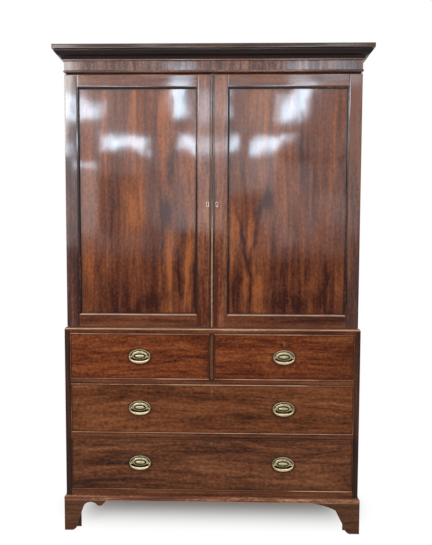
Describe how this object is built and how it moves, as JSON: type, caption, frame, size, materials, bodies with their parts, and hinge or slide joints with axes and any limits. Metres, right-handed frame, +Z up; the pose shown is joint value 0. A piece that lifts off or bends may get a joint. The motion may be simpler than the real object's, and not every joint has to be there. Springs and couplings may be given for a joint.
{
  "type": "linen press",
  "caption": "Two-part mahogany linen press: panelled cupboard with sliding trays and a cornice over a chest of short and long drawers on bracket feet.",
  "frame": {"origin": "centre of the whole outline on the floor", "axes": "+X to the viewer's right, +Y from the doors to the back, +Z up"},
  "size_m": [1.318, 0.599, 2.056],
  "materials": {
    "mahogany_case": "French polished mahogany",
    "mahogany_door": "French polished mahogany",
    "mahogany_panel": "French polished figured mahogany",
    "mahogany_drawer": "worn polished mahogany",
    "pine": "bare aged pine",
    "oak": "bare waxed oak",
    "brass": "aged lacquered brass"
  },
  "bodies": {
    "root": {"cornice_moulding": "mahogany_case", "cornice_frame": "pine", "frieze": "mahogany_case", "upper_side_left": "mahogany_case", "upper_side_right": "mahogany_case", "upper_top_board": "pine", "upper_bottom_board": "pine", "upper_back_boards": "pine", "tray_runners": "oak", "hinge_leaves_case": "brass", "chest_side_left": "mahogany_case", "chest_side_right": "mahogany_case", "chest_top_board": "pine", "chest_back_boards": "pine", "waist_moulding": "mahogany_case", "drawer_rails": "mahogany_case", "centre_muntin": "mahogany_case", "dustboards": "pine", "plinth_moulding": "mahogany_case", "foot_front_left": "mahogany_case", "foot_front_right": "mahogany_case", "back_feet": "mahogany_case"},
    "door_left": {"door_left_frame": "mahogany_door", "door_left_panel": "mahogany_panel", "door_left_bead": "mahogany_door", "door_left_brassware": "brass"},
    "door_right": {"door_right_frame": "mahogany_door", "door_right_panel": "mahogany_panel", "door_right_bead": "mahogany_door", "door_right_brassware": "brass", "door_astragal": "brass"},
    "door_lock_bolt": {"door_lock_bolt": "brass"},
    "door_bolt_top": {"door_bolt_top": "brass"},
    "door_bolt_bottom": {"door_bolt_bottom": "brass"},
    "drawer_short_left": {"drawer_short_left_front": "mahogany_drawer", "drawer_short_left_box": "oak", "drawer_short_left_brassware": "brass"},
    "lock_bolt_short_left": {"lock_bolt_short_left": "brass"},
    "drawer_short_right": {"drawer_short_right_front": "mahogany_drawer", "drawer_short_right_box": "oak", "drawer_short_right_brassware": "brass"},
    "lock_bolt_short_right": {"lock_bolt_short_right": "brass"},
    "drawer_long_upper": {"drawer_long_upper_front": "mahogany_drawer", "drawer_long_upper_box": "oak", "drawer_long_upper_brassware": "brass"},
    "lock_bolt_long_upper": {"lock_bolt_long_upper": "brass"},
    "drawer_long_lower": {"drawer_long_lower_front": "mahogany_drawer", "drawer_long_lower_box": "oak", "drawer_long_lower_brassware": "brass"},
    "lock_bolt_long_lower": {"lock_bolt_long_lower": "brass"},
    "bail_short_left": {"bail_short_left": "brass"},
    "bail_short_right": {"bail_short_right": "brass"},
    "bail_upper_left": {"bail_upper_left": "brass"},
    "bail_upper_right": {"bail_upper_right": "brass"},
    "bail_lower_left": {"bail_lower_left": "brass"},
    "bail_lower_right": {"bail_lower_right": "brass"},
    "tray_1": {"tray_1": "oak"},
    "tray_2": {"tray_2": "oak"},
    "tray_3": {"tray_3": "oak"},
    "tray_4": {"tray_4": "oak"}
  },
  "joints": [
    {"name": "door_left_hinge", "type": "hinge", "parent": "root", "child": "door_left", "pos_m": [-0.6205, -0.2355, 1.41625], "axis": [0, 0, -1], "range_deg": [0, 170]},
    {"name": "door_right_hinge", "type": "hinge", "parent": "root", "child": "door_right", "pos_m": [0.6205, -0.2355, 1.41625], "axis": [0, 0, 1], "range_deg": [0, 170]},
    {"name": "door_lock_bolt_slide", "type": "slide", "parent": "door_right", "child": "door_lock_bolt", "axis": [-1, 0, 0], "range_m": [0, 0.008]},
    {"name": "door_bolt_top_slide", "type": "slide", "parent": "door_left", "child": "door_bolt_top", "axis": [0, 0, 1], "range_m": [0, 0.011]},
    {"name": "door_bolt_bottom_slide", "type": "slide", "parent": "door_left", "child": "door_bolt_bottom", "axis": [0, 0, -1], "range_m": [0, 0.011]},
    {"name": "drawer_short_left_slide", "type": "slide", "parent": "root", "child": "drawer_short_left", "axis": [0, -1, 0], "range_m": [0, 0.4]},
    {"name": "lock_bolt_short_left_slide", "type": "slide", "parent": "drawer_short_left", "child": "lock_bolt_short_left", "axis": [0, 0, 1], "range_m": [0, 0.008]},
    {"name": "drawer_short_right_slide", "type": "slide", "parent": "root", "child": "drawer_short_right", "axis": [0, -1, 0], "range_m": [0, 0.4]},
    {"name": "lock_bolt_short_right_slide", "type": "slide", "parent": "drawer_short_right", "child": "lock_bolt_short_right", "axis": [0, 0, 1], "range_m": [0, 0.008]},
    {"name": "drawer_long_upper_slide", "type": "slide", "parent": "root", "child": "drawer_long_upper", "axis": [0, -1, 0], "range_m": [0, 0.4]},
    {"name": "lock_bolt_long_upper_slide", "type": "slide", "parent": "drawer_long_upper", "child": "lock_bolt_long_upper", "axis": [0, 0, 1], "range_m": [0, 0.008]},
    {"name": "drawer_long_lower_slide", "type": "slide", "parent": "root", "child": "drawer_long_lower", "axis": [0, -1, 0], "range_m": [0, 0.4]},
    {"name": "lock_bolt_long_lower_slide", "type": "slide", "parent": "drawer_long_lower", "child": "lock_bolt_long_lower", "axis": [0, 0, 1], "range_m": [0, 0.008]},
    {"name": "bail_short_left_pivot", "type": "hinge", "parent": "drawer_short_left", "child": "bail_short_left", "pos_m": [-0.307, -0.281, 0.7625], "axis": [-1, 0, 0], "range_deg": [0, 90]},
    {"name": "bail_short_right_pivot", "type": "hinge", "parent": "drawer_short_right", "child": "bail_short_right", "pos_m": [0.307, -0.281, 0.7625], "axis": [-1, 0, 0], "range_deg": [0, 90]},
    {"name": "bail_upper_left_pivot", "type": "hinge", "parent": "drawer_long_upper", "child": "bail_upper_left", "pos_m": [-0.307, -0.281, 0.54], "axis": [-1, 0, 0], "range_deg": [0, 90]},
    {"name": "bail_upper_right_pivot", "type": "hinge", "parent": "drawer_long_upper", "child": "bail_upper_right", "pos_m": [0.307, -0.281, 0.54], "axis": [-1, 0, 0], "range_deg": [0, 90]},
    {"name": "bail_lower_left_pivot", "type": "hinge", "parent": "drawer_long_lower", "child": "bail_lower_left", "pos_m": [-0.307, -0.281, 0.3], "axis": [-1, 0, 0], "range_deg": [0, 90]},
    {"name": "bail_lower_right_pivot", "type": "hinge", "parent": "drawer_long_lower", "child": "bail_lower_right", "pos_m": [0.307, -0.281, 0.3], "axis": [-1, 0, 0], "range_deg": [0, 90]},
    {"name": "tray_1_slide", "type": "slide", "parent": "root", "child": "tray_1", "axis": [0, -1, 0], "range_m": [0, 0.032]},
    {"name": "tray_2_slide", "type": "slide", "parent": "root", "child": "tray_2", "axis": [0, -1, 0], "range_m": [0, 0.032]},
    {"name": "tray_3_slide", "type": "slide", "parent": "root", "child": "tray_3", "axis": [0, -1, 0], "range_m": [0, 0.032]},
    {"name": "tray_4_slide", "type": "slide", "parent": "root", "child": "tray_4", "axis": [0, -1, 0], "range_m": [0, 0.032]}
  ]
}
